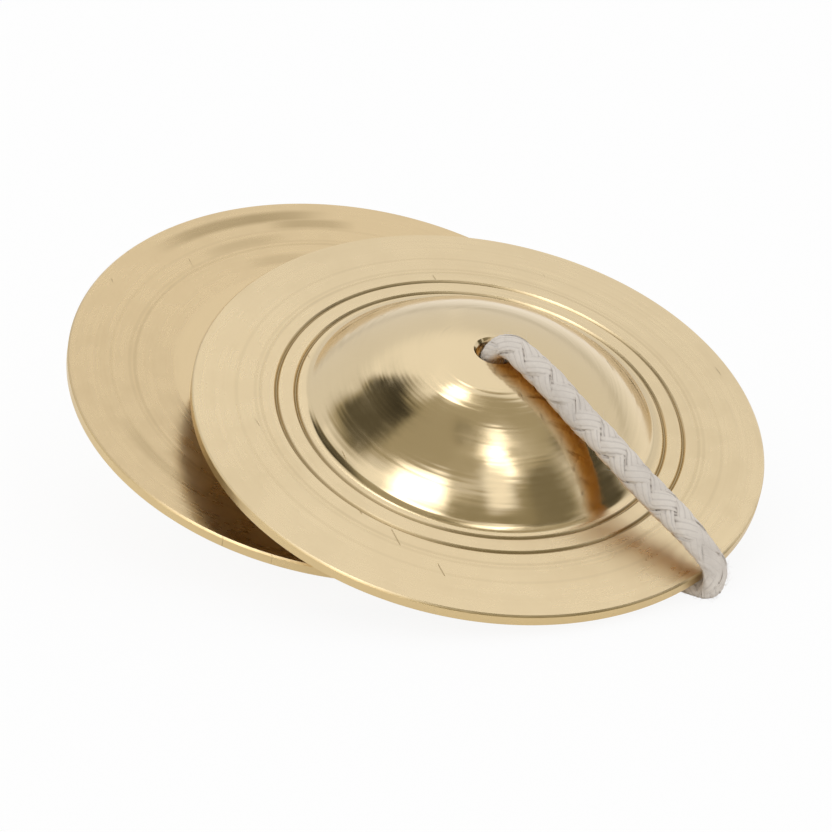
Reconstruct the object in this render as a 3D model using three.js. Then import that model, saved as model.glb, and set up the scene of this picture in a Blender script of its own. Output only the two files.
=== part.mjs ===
// A pair of small hand cymbals (manjira) tied to the two ends of one plaited cotton cord.
// They are put down as a player leaves them: the lower one lies on its bell with its striking face
// up, and the upper one lies over it, shifted to the front right. The cord keeps the two faces
// apart: it is turned under the upper rim, lies in a ring between the faces, leaves over the
// lower rim at the back and curls on the table under the lower bell.
// The table is z = 0, +X points right and -Y to the viewer. Millimetres and degrees.
import * as THREE from 'three';

// The cymbals, which are two castings of one pattern
const RIM_RADIUS = 40;
const PLATE = 1.8;
const RIM_DISH = 3.4;
const FACE_DISH = 1.2;
const EDGE_CHAMFER = 0.25;
const FOOT_RADIUS = 25.3;
const FOOT_FILLET = 2.4;
const BELL_RISE = 11.1;
const BELL_WALL = 3.4;
const MOUTH_ROUND = 0.6;
const BORE_RADIUS = 2.45;
const BORE_LIP = 0.3;
const GROOVE_RADII = [25.75, 28.4];
const GROOVE_WIDTH = 0.7;
const GROOVE_DEPTH = 0.3;

// How the pair lies: both lean the same way, and the upper one is slid off centre
const LEAN = 21.7;
const LEAN_BEARING = -64.5;
const SLIDE = 20.9;
const SLIDE_BEARING = 30.8;
const FACE_GAP = 4.5;

// The cord and its two knots
const CORD = 4.3;
const PINCH = 0.86;
const CREASE = 0.6;
const CORD_SIDES = 8;
const KNOT_RADIUS = 4.9;
const KNOT_HEIGHT = 6.6;
const KNOT_SHOULDER = 28;
const KNOT_NECK = 154;
const TAIL_LENGTH = 2.6;
const SEAT_GAP = 0.3;
const WRAP_HEIGHT = 2.1;
const WRAP_BEARING = 25.5;
const EXIT_BEARING = 79.5;
const CURL_CLEARANCE = 0.75;
const DESCENT_SIDE = 137;

// Faceting
const RIM_SEGMENTS = 64;
const KNOT_SEGMENTS = 16;
const KNOT_STEPS = 8;
const BELL_STEPS = 7;
const FILLET_STEPS = 3;
const OVER_BELL_STEPS = 26;
const UNDER_RIM_STEPS = 16;
const BETWEEN_STEPS = 30;
const UNDER_LOWER_STEPS = 20;
const UNDER_BELL_STEPS = 16;

const rad = THREE.MathUtils.degToRad;
const FLAT = 0.1 * CORD;
const CORD_CENTRE = CORD / 2 - FLAT;
const PINCHED_CENTRE = 1.6;
const PINCHED_TOP = PINCHED_CENTRE + (PINCH * CORD) / 2;

// The line of a cymbal's wall, as radius and height above its striking plane.
// The bell is one round crown that runs into the rim through a hollow fillet.
function bellLine() {
  const dish = rad(RIM_DISH);
  const footHeight = PLATE + (RIM_RADIUS - FOOT_RADIUS) * Math.tan(dish);
  const apex = footHeight + BELL_RISE;
  const fillet = new THREE.Vector2(
    FOOT_RADIUS + FOOT_FILLET * Math.sin(dish),
    footHeight + FOOT_FILLET * Math.cos(dish),
  );
  const drop = fillet.y - apex;
  const crown = (fillet.x ** 2 + drop ** 2 - FOOT_FILLET ** 2) / (2 * (FOOT_FILLET - drop));
  const centre = apex - crown;
  const turn = Math.atan2(fillet.x, fillet.y - centre);
  return { dish, footHeight, apex, fillet, crown, centre, turn };
}

// Where the cavity's round mouth meets the striking face, and how far round the crown it starts.
function mouthLine(line) {
  const dish = rad(FACE_DISH);
  const inner = line.crown - BELL_WALL;
  const along = new THREE.Vector2(-Math.cos(dish), Math.sin(dish));
  const into = new THREE.Vector2(Math.sin(dish), Math.cos(dish));
  const start = new THREE.Vector2(RIM_RADIUS, -line.centre).addScaledVector(into, MOUTH_ROUND);
  const half = start.dot(along);
  const reach = start.dot(start) - (inner + MOUTH_ROUND) ** 2;
  const round = start.addScaledVector(along, -half - Math.sqrt(half * half - reach));
  const turn = Math.atan2(round.x, round.y);
  round.y += line.centre;
  return { inner, round, turn };
}

// Points along an arc, its angles counted from the upright towards the rim.
function arc(centre, radius, from, to, steps) {
  const points = [];
  for (let i = 0; i <= steps; i += 1) {
    const angle = from + ((to - from) * i) / steps;
    points.push(new THREE.Vector2(
      centre.x + radius * Math.sin(angle),
      centre.y + radius * Math.cos(angle),
    ));
  }
  return points;
}

function topHeight(radius, line) {
  return PLATE + (RIM_RADIUS - radius) * Math.tan(line.dish);
}

// The hollow of the striking face under a given radius.
function faceHeight(radius) {
  return (RIM_RADIUS - radius) * Math.tan(rad(FACE_DISH));
}

function groove(radius, line) {
  const half = GROOVE_WIDTH / 2;
  return [
    new THREE.Vector2(radius - half, topHeight(radius - half, line)),
    new THREE.Vector2(radius, topHeight(radius, line) - GROOVE_DEPTH),
    new THREE.Vector2(radius + half, topHeight(radius + half, line)),
  ];
}

// A body of revolution about +Z from a closed outline of radius and height.
function turned(outline, segments) {
  const geometry = new THREE.LatheGeometry(outline, segments);
  geometry.rotateX(Math.PI / 2);
  return geometry;
}

function cymbalGeometry() {
  const line = bellLine();
  const mouth = mouthLine(line);
  const lipRadius = BORE_RADIUS + BORE_LIP;
  const lipTurn = Math.asin(lipRadius / line.crown);
  const boreTurn = Math.asin(BORE_RADIUS / mouth.inner);
  const crownCentre = new THREE.Vector2(0, line.centre);
  const crown = arc(crownCentre, line.crown, lipTurn, line.turn, BELL_STEPS);
  const foot = arc(line.fillet, FOOT_FILLET, line.turn - Math.PI, line.dish - Math.PI, FILLET_STEPS);
  const lip = arc(
    mouth.round,
    MOUTH_ROUND,
    rad(FACE_DISH) - Math.PI,
    mouth.turn - Math.PI,
    FILLET_STEPS,
  );
  const cavity = arc(crownCentre, mouth.inner, mouth.turn, boreTurn, BELL_STEPS);
  const edge = [
    new THREE.Vector2(RIM_RADIUS - EDGE_CHAMFER, topHeight(RIM_RADIUS - EDGE_CHAMFER, line)),
    new THREE.Vector2(RIM_RADIUS, PLATE - EDGE_CHAMFER),
    new THREE.Vector2(RIM_RADIUS, EDGE_CHAMFER),
    new THREE.Vector2(RIM_RADIUS - EDGE_CHAMFER, faceHeight(RIM_RADIUS - EDGE_CHAMFER)),
  ];
  const outline = [
    new THREE.Vector2(BORE_RADIUS, crown[0].y - BORE_LIP),
    ...crown,
    ...foot.slice(1),
    ...GROOVE_RADII.flatMap((radius) => groove(radius, line)),
    ...edge,
    ...lip,
    ...cavity.slice(1),
  ];
  outline.push(outline[0].clone());
  return turned(outline.reverse(), RIM_SEGMENTS);
}

// The knot that keeps a cord end inside a bell, with the cut end that hangs from it.
// It is drawn about the cymbal's axis and pulled up to the roof of the cavity.
function knotGeometry() {
  const half = new THREE.Vector2(KNOT_RADIUS, KNOT_HEIGHT / 2);
  const middle = new THREE.Vector2(0, knotSeat() - half.y);
  const tailEnd = middle.y - half.y - TAIL_LENGTH;
  const bulb = arc(new THREE.Vector2(), 1, rad(KNOT_SHOULDER), rad(KNOT_NECK), KNOT_STEPS);
  bulb.forEach((point) => point.multiply(half).add(middle));
  const outline = [
    new THREE.Vector2(0, bulb[0].y),
    ...bulb,
    new THREE.Vector2(CORD / 2, tailEnd),
    new THREE.Vector2(0, tailEnd),
  ];
  return turned(outline.reverse(), KNOT_SEGMENTS);
}

// The height of the knot's seat, just under the cavity's roof where the knot is widest.
function knotSeat() {
  const line = bellLine();
  const inner = line.crown - BELL_WALL;
  return line.centre + Math.sqrt(inner ** 2 - KNOT_RADIUS ** 2) - SEAT_GAP;
}

// A cord's centre line. Its cross-section keeps the direction that sideAt gives as its width.
class CordLine extends THREE.CatmullRomCurve3 {
  constructor(points, sideAt) {
    super(points, false, 'centripetal');
    this.sideAt = sideAt;
  }

  computeFrenetFrames(steps) {
    const frames = { tangents: [], normals: [], binormals: [] };
    for (let i = 0; i <= steps; i += 1) {
      const tangent = this.getTangentAt(i / steps).normalize();
      const side = this.sideAt(this.getPointAt(i / steps));
      const normal = side.clone().addScaledVector(tangent, -side.dot(tangent)).normalize();
      frames.tangents.push(tangent);
      frames.normals.push(normal);
      frames.binormals.push(tangent.clone().cross(normal));
    }
    return frames;
  }
}

// An eight-sided section, its half width along the line's side and its half height across it.
function section(halfWidth, halfHeight) {
  const shape = new THREE.Shape();
  const halfStep = Math.PI / CORD_SIDES;
  for (let i = 0; i < CORD_SIDES; i += 1) {
    const angle = halfStep * (2 * i + 1);
    const x = halfWidth * Math.cos(angle);
    const y = halfHeight * Math.sin(angle);
    if (i === 0) shape.moveTo(x, y);
    else shape.lineTo(x, y);
  }
  shape.closePath();
  return shape;
}

// The height to which the lower bell presses a cord at a place, which is none at its bore.
function pressedHeight(place) {
  const distance = Math.hypot(place.x - bellCentre.x, place.y - bellCentre.y);
  const off = place.clone().sub(lowerPlace);
  const fromAxis = Math.sqrt(Math.max(0, off.lengthSq() - off.dot(up) ** 2));
  const free = distance > bell.crown || fromAxis < BORE_RADIUS + BORE_LIP + SEAT_GAP;
  return free ? Infinity : bellUnderside(distance) - SEAT_GAP;
}

// A length of cord, pressed flat by the table and by the bell that lies on it.
function cordGeometry(line, steps, shape) {
  const geometry = new THREE.ExtrudeGeometry(shape, { steps, extrudePath: line, bevelEnabled: false });
  const places = geometry.getAttribute('position');
  for (let i = 0; i < places.count; i += 1) {
    const place = new THREE.Vector3().fromBufferAttribute(places, i);
    const below = place.clone().sub(lowerPlace).dot(up) < 0;
    const height = below ? Math.min(place.z, pressedHeight(place)) : place.z;
    places.setZ(i, Math.max(0, height));
  }
  geometry.deleteAttribute('normal');
  geometry.deleteAttribute('uv');
  return geometry;
}

// Where the pair lies. The middle of the two rims is above the origin, and the height puts the
// upper rim's edge on the cord that is turned under it.
const lean = new THREE.Euler(0, rad(LEAN), rad(LEAN_BEARING), 'ZYX');
const tilt = new THREE.Quaternion().setFromEuler(lean);
const upright = new THREE.Vector3(0, 0, 1);
const up = upright.clone().applyQuaternion(tilt);
const slide = new THREE.Vector3(
  SLIDE * Math.cos(rad(SLIDE_BEARING)),
  SLIDE * Math.sin(rad(SLIDE_BEARING)),
  FACE_GAP,
).applyQuaternion(tilt);
const wrapDrop = RIM_RADIUS * Math.sin(rad(LEAN)) * Math.cos(rad(WRAP_BEARING));
const lowerPlace = slide.clone().divideScalar(-2);
lowerPlace.z = WRAP_HEIGHT + wrapDrop - slide.z;
const upperPlace = lowerPlace.clone().add(slide);
const bell = bellLine();
const bellCentre = lowerPlace.clone().addScaledVector(up, -bell.centre);

// A point over or under the upper cymbal, from its radius, bearing and height above the face.
function onUpper(radius, bearing, height) {
  return new THREE.Vector3(
    radius * Math.cos(rad(bearing)),
    radius * Math.sin(rad(bearing)),
    height,
  ).applyQuaternion(tilt).add(upperPlace);
}

// A point over the bell in the plane where the cord lies.
function overBell(radius, height) {
  return onUpper(radius, WRAP_BEARING, height);
}

// The same, measured outwards from the rim's edge.
function atRim(beyond, height) {
  return overBell(RIM_RADIUS + beyond, height);
}

// The middle of a cord that lies against the upper cymbal's face, its turn counted from the plane
// of the wrap.
function between(radius, turn) {
  return onUpper(radius, WRAP_BEARING + turn, faceHeight(radius) - CORD / 2 - SEAT_GAP);
}

// A point round the lower rim where the cord leaves, measured outwards from the edge and down
// from the striking plane.
function atLowerRim(beyond, drop) {
  const radius = RIM_RADIUS + beyond;
  return new THREE.Vector3(
    radius * Math.cos(rad(EXIT_BEARING)),
    radius * Math.sin(rad(EXIT_BEARING)),
    -drop,
  ).applyQuaternion(tilt).add(lowerPlace);
}

function onTable(x, y, height = CORD_CENTRE) {
  return new THREE.Vector3(x, y, height);
}

// How high the lower bell stands over the table at a distance from its lowest point.
function bellUnderside(distance) {
  return bellCentre.z - Math.sqrt(bell.crown ** 2 - distance ** 2);
}

// Where the bell has room for the pressed cord, measured from its lowest point.
function curlReach() {
  const rise = bellCentre.z - PINCHED_TOP - CURL_CLEARANCE;
  return Math.sqrt(bell.crown ** 2 - rise ** 2);
}

// A point beside the bell's lowest point, measured outwards from the line of the curl.
function roundBell(bearing, beyond, height = PINCHED_CENTRE) {
  const distance = curlReach() + beyond;
  return new THREE.Vector3(
    bellCentre.x + distance * Math.cos(rad(bearing)),
    bellCentre.y + distance * Math.sin(rad(bearing)),
    height,
  );
}

// The lower cymbal's axis, measured from the bell's outer apex inwards.
function inLowerBore(depth) {
  return lowerPlace.clone().addScaledVector(up, depth - bell.apex);
}

// The cord's route from the upper knot to the lower one. It rises through the bore, lies down
// the bell and spans to the rim.
const OVER_BELL = [
  overBell(0, 9.6), overBell(0, 11.6), overBell(0, 13.2), overBell(0.5, 14.4), overBell(1.3, 15.4),
  overBell(2.7, 15.88), overBell(5, 15.62), overBell(8, 14.98), overBell(11, 14.04),
  overBell(13.5, 13.05), overBell(16.1, 12.15), overBell(19.3, 11.25), overBell(22.5, 10.2),
  overBell(25.8, 9), overBell(28.8, 8.1), overBell(31.6, 7.25), atRim(-5.8, 6.45), atRim(-3.4, 5.65),
  atRim(-2, 5.05),
];

// It turns round the edge and is pressed under the rim.
const UNDER_RIM = [
  atRim(-1.7, 4.9), atRim(-0.2, 4.2), atRim(1, 3.3), atRim(1.65, 2.1), atRim(1.75, 0.8),
  atRim(1.6, -0.4), atRim(0.75, -1.45), atRim(-0.8, -1.75), atRim(-3.5, -2.2),
];

// It bends into a ring between the two faces, and bends out of it over the lower rim.
const BETWEEN = [
  atRim(-3.8, -2.45), atRim(-6, -2.45), between(31.6, -2), between(29, -6.8), between(27, -13.5),
  between(25.6, -23), between(25, -34), between(25, -48), between(25, -66), between(25, -84),
  between(25, -102), between(25, -120), between(25, -138), between(25, -156), between(25, -174),
  between(25, -192), between(25, -210), between(25, -228), between(25, -246), between(25, -257),
  between(25.5, -264), between(26.8, -269.1), between(28.8, -272.8),
];

// It turns round the lower rim, comes down to the table and runs to the bell.
const UNDER_LOWER = [
  atLowerRim(-1.8, -2.35), atLowerRim(-0.3, -2.45), atLowerRim(1.1, -2.15), atLowerRim(2.15, -1.2),
  atLowerRim(2.5, 0.1), atLowerRim(2.5, 1.7), atLowerRim(2, 3.2), atLowerRim(0.9, 4.4),
  onTable(27.8, 18.4, 7.8), onTable(25, 17.9, 5.2), onTable(21.4, 16.9, 3.1), onTable(17.4, 15.2, 1.95),
  onTable(13.4, 12.6), onTable(10, 9.2), onTable(7.3, 5.4), onTable(5.1, 1.8, 1.68),
  roundBell(-6.5, 0.3, 1.62),
];

// It curls under the lower bell, which presses on it, and turns up into the bore.
const UNDER_BELL = [
  roundBell(-8.5, 0.25), roundBell(-35, 0.1), roundBell(-60, 0), roundBell(-85, 0),
  roundBell(-110, 0), roundBell(-135, 0), roundBell(-160, 0), roundBell(-185, 0.15),
  roundBell(-205, 0.6), roundBell(-220, 1.3, 1.8), roundBell(-231, 1.95, 2.4),
  roundBell(-238.5, 2.4, 3.5), inLowerBore(0.1), inLowerBore(1.8), inLowerBore(4.2),
];

const brass = new THREE.MeshStandardMaterial({ color: 0xd8b878, roughness: 0.3, metalness: 1 });
const cotton = new THREE.MeshStandardMaterial({ color: 0xe6e0d8, roughness: 0.95, metalness: 0 });

function named(name, geometry, material) {
  const mesh = new THREE.Mesh(geometry, material);
  mesh.name = name;
  return mesh;
}

function cymbalGroup(place, upsideDown) {
  const group = new THREE.Group();
  group.position.copy(place);
  group.quaternion.copy(tilt);
  if (upsideDown) group.rotateX(Math.PI);
  return group;
}

const acrossWrap = overBell(1, 0).sub(overBell(0, 0)).cross(up);
const acrossDescent = new THREE.Vector3(Math.cos(rad(DESCENT_SIDE)), Math.sin(rad(DESCENT_SIDE)), 0);
const fromBell = (point) => new THREE.Vector3(point.x - bellCentre.x, point.y - bellCentre.y, 0);
const round = section(CORD / 2, CORD / 2);
const pinched = section(CORD / 2, (PINCH * CORD) / 2);
const creased = section(CORD / 2, (CREASE * CORD) / 2);

const stretches = [
  ['cord_over_bell', new CordLine(OVER_BELL, () => acrossWrap), OVER_BELL_STEPS, pinched],
  ['cord_under_rim', new CordLine(UNDER_RIM, () => acrossWrap), UNDER_RIM_STEPS, creased],
  ['cord_between', new CordLine(BETWEEN, () => up), BETWEEN_STEPS, round],
  ['cord_under_lower', new CordLine(UNDER_LOWER, () => acrossDescent), UNDER_LOWER_STEPS, round],
  ['cord_under_bell', new CordLine(UNDER_BELL, fromBell), UNDER_BELL_STEPS, pinched],
];

const lower = cymbalGroup(lowerPlace, true);
lower.add(named('lower_cymbal', cymbalGeometry(), brass));
lower.add(named('lower_knot', knotGeometry(), cotton));

const upper = cymbalGroup(upperPlace, false);
upper.add(named('upper_cymbal', cymbalGeometry(), brass));
upper.add(named('upper_knot', knotGeometry(), cotton));

const pair = new THREE.Group();
pair.add(lower, upper);
stretches.forEach(([name, line, steps, shape]) => {
  pair.add(named(name, cordGeometry(line, steps, shape), cotton));
});

export default pair;
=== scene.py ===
"""A pair of manjira: two turned brass hand cymbals tied to the ends of one plaited cotton cord.

The scene lies in the frame of the CAD model, in metres. Sizes are written in millimetres.
"""

import logging
import math
from dataclasses import dataclass, field
from enum import Enum

import bmesh
import bpy
import numpy as np
from mathutils import Matrix, Vector


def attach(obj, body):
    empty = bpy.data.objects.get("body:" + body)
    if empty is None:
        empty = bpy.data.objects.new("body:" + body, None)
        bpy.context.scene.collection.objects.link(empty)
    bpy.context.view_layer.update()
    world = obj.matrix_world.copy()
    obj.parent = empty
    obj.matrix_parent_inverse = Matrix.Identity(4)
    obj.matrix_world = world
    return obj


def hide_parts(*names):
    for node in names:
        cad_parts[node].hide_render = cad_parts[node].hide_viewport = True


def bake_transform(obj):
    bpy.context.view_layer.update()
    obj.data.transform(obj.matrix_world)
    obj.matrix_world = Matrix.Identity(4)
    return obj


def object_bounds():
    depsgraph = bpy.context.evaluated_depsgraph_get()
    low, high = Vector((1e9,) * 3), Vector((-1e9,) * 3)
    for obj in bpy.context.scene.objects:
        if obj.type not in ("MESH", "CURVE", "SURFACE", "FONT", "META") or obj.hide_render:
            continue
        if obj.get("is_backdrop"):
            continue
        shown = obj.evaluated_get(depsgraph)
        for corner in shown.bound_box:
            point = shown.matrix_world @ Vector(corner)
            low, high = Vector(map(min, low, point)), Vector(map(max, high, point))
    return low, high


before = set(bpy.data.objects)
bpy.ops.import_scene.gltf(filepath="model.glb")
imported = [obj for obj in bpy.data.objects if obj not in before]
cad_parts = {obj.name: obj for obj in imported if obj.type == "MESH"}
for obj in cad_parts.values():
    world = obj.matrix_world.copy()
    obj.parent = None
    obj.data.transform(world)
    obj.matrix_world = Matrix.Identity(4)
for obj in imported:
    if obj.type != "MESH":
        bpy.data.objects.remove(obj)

LOG = logging.getLogger("manjira")
MM = 0.001
TINY = 1e-6

Socket = bpy.types.NodeSocket
Material = bpy.types.Material
Object = bpy.types.Object
Mesh = bpy.types.Mesh
Pair = tuple[float, float]
Triple = tuple[float, float, float]
Fibres = tuple[float, int]
Frames = tuple[np.ndarray, np.ndarray]


def opaque(tone: Triple) -> tuple[float, float, float, float]:
    """A linear colour with full alpha, as the colour sockets take it."""
    return (*tone, 1.0)


def unit(vectors: np.ndarray) -> np.ndarray:
    """Rows of vectors, each scaled to a length of one."""
    return vectors / np.linalg.norm(vectors, axis=1)[:, None]


class Side(Enum):
    """Which cymbal of the pair a piece belongs to."""

    LOWER = "lower"
    UPPER = "upper"


@dataclass(frozen=True)
class Pinch:
    """A spot in the plane of the wrap that squashes the cord, in millimetres.

    The cord has its least share of the full thickness up to near, and all of it beyond far.
    """

    radius: float
    height: float
    near: float
    far: float
    least: float


@dataclass(frozen=True)
class Layout:
    """How the pair lies on the table, in millimetres and degrees."""

    rim_radius: float = 40.0
    face_dish: float = 1.2
    lean: float = 21.7
    lean_bearing: float = -64.5
    slide: float = 20.9
    slide_bearing: float = 30.8
    face_gap: float = 4.5
    cord: float = 4.3
    seat_gap: float = 0.3
    wrap_height: float = 2.1
    wrap_bearing: float = 25.5
    exit_bearing: float = 79.5
    crown: float = 32.299
    bell_apex: float = 13.773
    bore: float = 2.75
    pinched_top: float = 3.449
    curl_clearance: float = 0.75
    press_gap: float = 0.05
    brass_height: float = 3.0
    pinches: tuple[Pinch, ...] = (
        Pinch(40.0, 0.9, 3.4, 9.0, 0.62),
        Pinch(1.6, 13.6, 1.6, 5.5, 0.72),
    )

    @property
    def tilt(self) -> np.ndarray:
        """The rotation from the cymbals' own axes to the table's."""
        turn = Matrix.Rotation(math.radians(self.lean_bearing), 3, "Z")
        lean = Matrix.Rotation(math.radians(self.lean), 3, "Y")
        return np.array(turn @ lean)

    @property
    def up(self) -> np.ndarray:
        """The direction of both cymbals' axes, pointing up."""
        return self.tilt @ np.array((0.0, 0.0, 1.0))

    @property
    def step(self) -> np.ndarray:
        """The way from the lower cymbal's face to the upper one's."""
        bearing = math.radians(self.slide_bearing)
        local = (self.slide * math.cos(bearing), self.slide * math.sin(bearing), self.face_gap)
        return self.tilt @ np.array(local)

    @property
    def lower_place(self) -> np.ndarray:
        """The middle of the lower cymbal's striking face."""
        place = self.step / -2
        drop = self.rim_radius * math.sin(math.radians(self.lean))
        drop *= math.cos(math.radians(self.wrap_bearing))
        place[2] = self.wrap_height + drop - self.step[2]
        return place

    @property
    def upper_place(self) -> np.ndarray:
        """The middle of the upper cymbal's striking face."""
        return self.lower_place + self.step

    def place(self, side: Side) -> np.ndarray:
        """The middle of a cymbal's striking face.

        Args:
            side: Which cymbal.

        Returns:
            The point, in millimetres.
        """
        return self.lower_place if side is Side.LOWER else self.upper_place

    def matrix(self, side: Side) -> Matrix:
        """The matrix that puts a cymbal drawn about +Z in its place.

        Args:
            side: Which cymbal. The lower one lies with its bell down.

        Returns:
            The matrix, in metres.
        """
        matrix = Matrix(self.tilt.tolist()).to_4x4()
        if side is Side.LOWER:
            matrix = matrix @ Matrix.Rotation(math.pi, 4, "X")
        return Matrix.Translation(Vector(self.place(side)) * MM) @ matrix

    def at(self, side: Side, radius: float, bearing: float, height: float) -> np.ndarray:
        """A point by a cymbal, from its radius, bearing and height above the striking plane.

        Args:
            side: Which cymbal.
            radius: The distance from the axis.
            bearing: The angle about the axis, in degrees.
            height: The height above the plane, along the upward axis.

        Returns:
            The point, in millimetres.
        """
        turn = math.radians(bearing)
        local = np.array((radius * math.cos(turn), radius * math.sin(turn), height))
        return self.place(side) + self.tilt @ local

    def over_bell(self, radius: float, height: float) -> np.ndarray:
        """A point in the plane where the cord lies over the upper bell."""
        return self.at(Side.UPPER, radius, self.wrap_bearing, height)

    def at_rim(self, beyond: float, height: float) -> np.ndarray:
        """The same, measured outwards from the rim's edge."""
        return self.over_bell(self.rim_radius + beyond, height)

    def between(self, radius: float, turn: float) -> np.ndarray:
        """The middle of a cord that lies against the upper face.

        Args:
            radius: The distance from the upper cymbal's axis.
            turn: The angle from the wrap's plane, in degrees.

        Returns:
            The point, in millimetres.
        """
        hollow = (self.rim_radius - radius) * math.tan(math.radians(self.face_dish))
        height = hollow - self.cord / 2 - self.seat_gap
        return self.at(Side.UPPER, radius, self.wrap_bearing + turn, height)

    def at_lower_rim(self, beyond: float, drop: float) -> np.ndarray:
        """A point round the lower rim where the cord leaves it."""
        return self.at(Side.LOWER, self.rim_radius + beyond, self.exit_bearing, -drop)

    @property
    def bell_centre(self) -> np.ndarray:
        """The centre of the lower bell's round crown."""
        return self.lower_place + self.up * (self.crown - self.bell_apex)

    def round_bell(self, bearing: float, beyond: float, height: float = 1.6) -> np.ndarray:
        """A point of the curl under the lower bell.

        Args:
            bearing: The angle about the bell's centre, in degrees.
            beyond: How far the point lies outside the curl's line.
            height: The height above the table.

        Returns:
            The point, in millimetres.
        """
        centre = self.bell_centre
        rise = centre[2] - self.pinched_top - self.curl_clearance
        distance = math.sqrt(self.crown**2 - rise**2) + beyond
        turn = math.radians(bearing)
        return np.array(
            (centre[0] + distance * math.cos(turn), centre[1] + distance * math.sin(turn), height)
        )

    def in_lower_bore(self, depth: float) -> np.ndarray:
        """A point on the lower cymbal's axis, inwards from the bell's apex."""
        return self.lower_place + self.up * (depth - self.bell_apex)

    def pressed(self, points: np.ndarray) -> np.ndarray:
        """Press points of the cord flat between the table and the bell that lies on it.

        Args:
            points: The points, in millimetres.

        Returns:
            The points, with their heights limited.
        """
        centre = self.bell_centre
        distance = np.hypot(points[..., 0] - centre[0], points[..., 1] - centre[1])
        off = points - self.lower_place
        along = off @ self.up
        from_axis = np.sqrt(np.maximum(np.sum(off**2, axis=-1) - along**2, 0))
        under = (along < 0) & (distance < self.crown) & (from_axis > self.bore)
        room = centre[2] - np.sqrt(np.maximum(self.crown**2 - distance**2, 0)) - self.press_gap
        made = points.copy()
        made[..., 2] = np.where(under, np.minimum(made[..., 2], room), made[..., 2])
        made[..., 2] = np.maximum(made[..., 2], self.press_gap)
        return made

    def thickness(self, points: np.ndarray) -> np.ndarray:
        """How thick the cord is along its route: squashed under the rim and on the bore's lip.

        Args:
            points: The middle of the cord, in millimetres.

        Returns:
            The share of the full thickness at each point.
        """
        made = np.ones(len(points))
        for pinch in self.pinches:
            off = np.linalg.norm(points - self.over_bell(pinch.radius, pinch.height), axis=1)
            share = np.clip((off - pinch.near) / (pinch.far - pinch.near), 0, 1)
            made = np.minimum(made, pinch.least + (1 - pinch.least) * share**2 * (3 - 2 * share))
        return made

    def over_brass(self, points: np.ndarray) -> np.ndarray:
        """Where the cord lies over the upper cymbal, as one there and none elsewhere."""
        height = (points - self.upper_place) @ self.up
        return np.clip(height - self.brass_height, 0, 1)


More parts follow.
